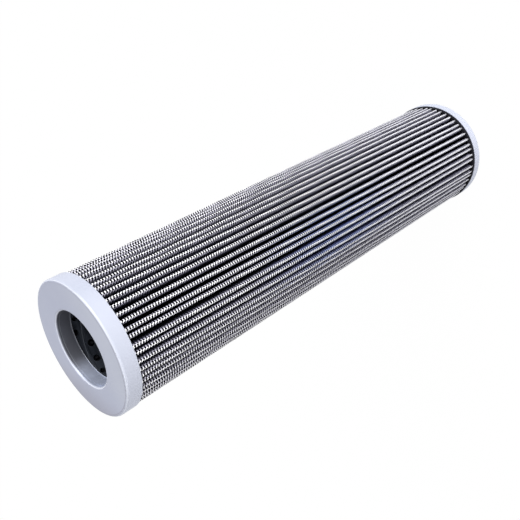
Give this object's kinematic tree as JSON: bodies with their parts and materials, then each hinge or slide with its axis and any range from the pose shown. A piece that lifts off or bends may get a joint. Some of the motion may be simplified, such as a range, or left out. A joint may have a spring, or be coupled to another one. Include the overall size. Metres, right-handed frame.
{
  "type": "hydraulic filter element",
  "caption": "Cylindrical pleated hydraulic filter element with wire mesh over the pleats, a perforated core tube, one open and one closed end cap.",
  "frame": {"origin": "centre of the closed end cap's outer face, which the element stands on", "axes": "+Z along the element's axis, from the closed end cap to the open one; X and Y square to it"},
  "size_m": [0.078, 0.078, 0.335],
  "materials": {
    "cap_finish": "satin, pale blue-grey",
    "core_steel": "dull rolled steel",
    "mesh_wire": "bright woven wire",
    "black_layer": "black drainage fabric",
    "media": "glass fibre medium",
    "fleece": "thin fleece",
    "inner_wire": "woven wire",
    "potting": "black cast resin"
  },
  "bodies": {
    "root": {"near_end_cap": "cap_finish", "far_end_cap": "cap_finish", "core_tube": "core_steel", "outer_mesh": "mesh_wire", "drainage_layer": "black_layer", "filter_media": "media", "support_layer": "fleece", "inner_mesh": "inner_wire", "near_potting": "potting", "far_potting": "potting"}
  },
  "joints": []
}
